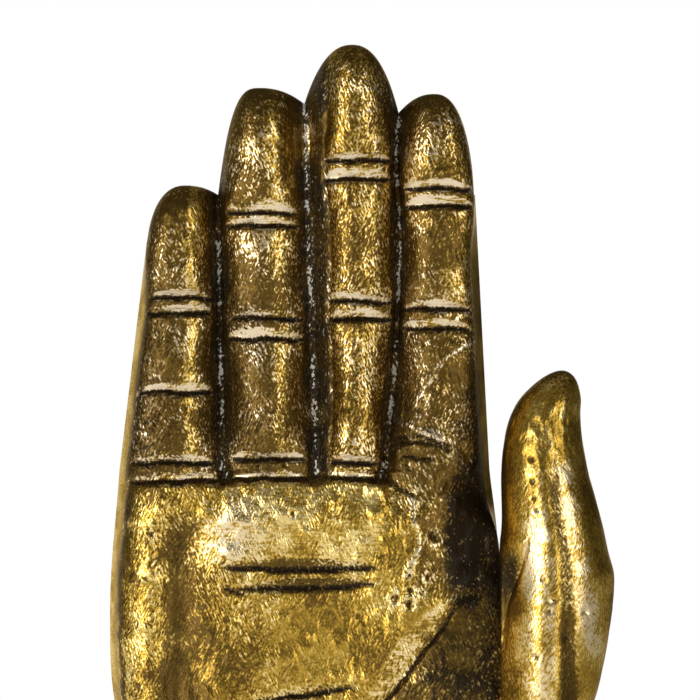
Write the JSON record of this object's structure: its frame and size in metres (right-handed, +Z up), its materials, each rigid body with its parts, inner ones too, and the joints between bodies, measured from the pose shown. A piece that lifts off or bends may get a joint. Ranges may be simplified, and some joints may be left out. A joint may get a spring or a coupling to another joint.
{
  "type": "hand sculpture",
  "caption": "Cast brass right hand raised in the gesture of reassurance, palm forward, with chased finger creases and dark patina, standing on a coved wooden plinth.",
  "frame": {"origin": "centre of the plinth's outline, on the plane that the felt pads stand on", "axes": "+Z up along the hand, -Y out of the palm towards the viewer, +X to the viewer's right, the thumb's side"},
  "size_m": [0.118, 0.078, 0.2168],
  "materials": {
    "palm_brass": "sand-cast skin, chased and rubbed bright over a dark patina",
    "back_brass": "smoothed casting, lightly patinated",
    "thumb_brass": "polished casting with small pores",
    "plate_brass": "turned and brushed",
    "fixing_brass": "plain drawn rod",
    "steel": "zinc plated",
    "plinth_wood": "dark stain, satin lacquer",
    "felt": "pressed felt"
  },
  "bodies": {
    "root": {"palm_shell": "palm_brass", "back_shell": "back_brass", "thumb": "thumb_brass", "thumb_dowel": "fixing_brass", "thumb_cross_pin": "steel", "seam_dowels": "fixing_brass", "wrist_rivets": "fixing_brass", "foot_plate": "plate_brass", "locating_pins": "steel", "mounting_stud": "steel", "plinth": "plinth_wood", "flat_washer": "steel", "spring_washer": "steel", "hex_nut": "steel", "felt_pad_front_left": "felt", "felt_pad_front_right": "felt", "felt_pad_rear_left": "felt", "felt_pad_rear_right": "felt"}
  },
  "joints": []
}
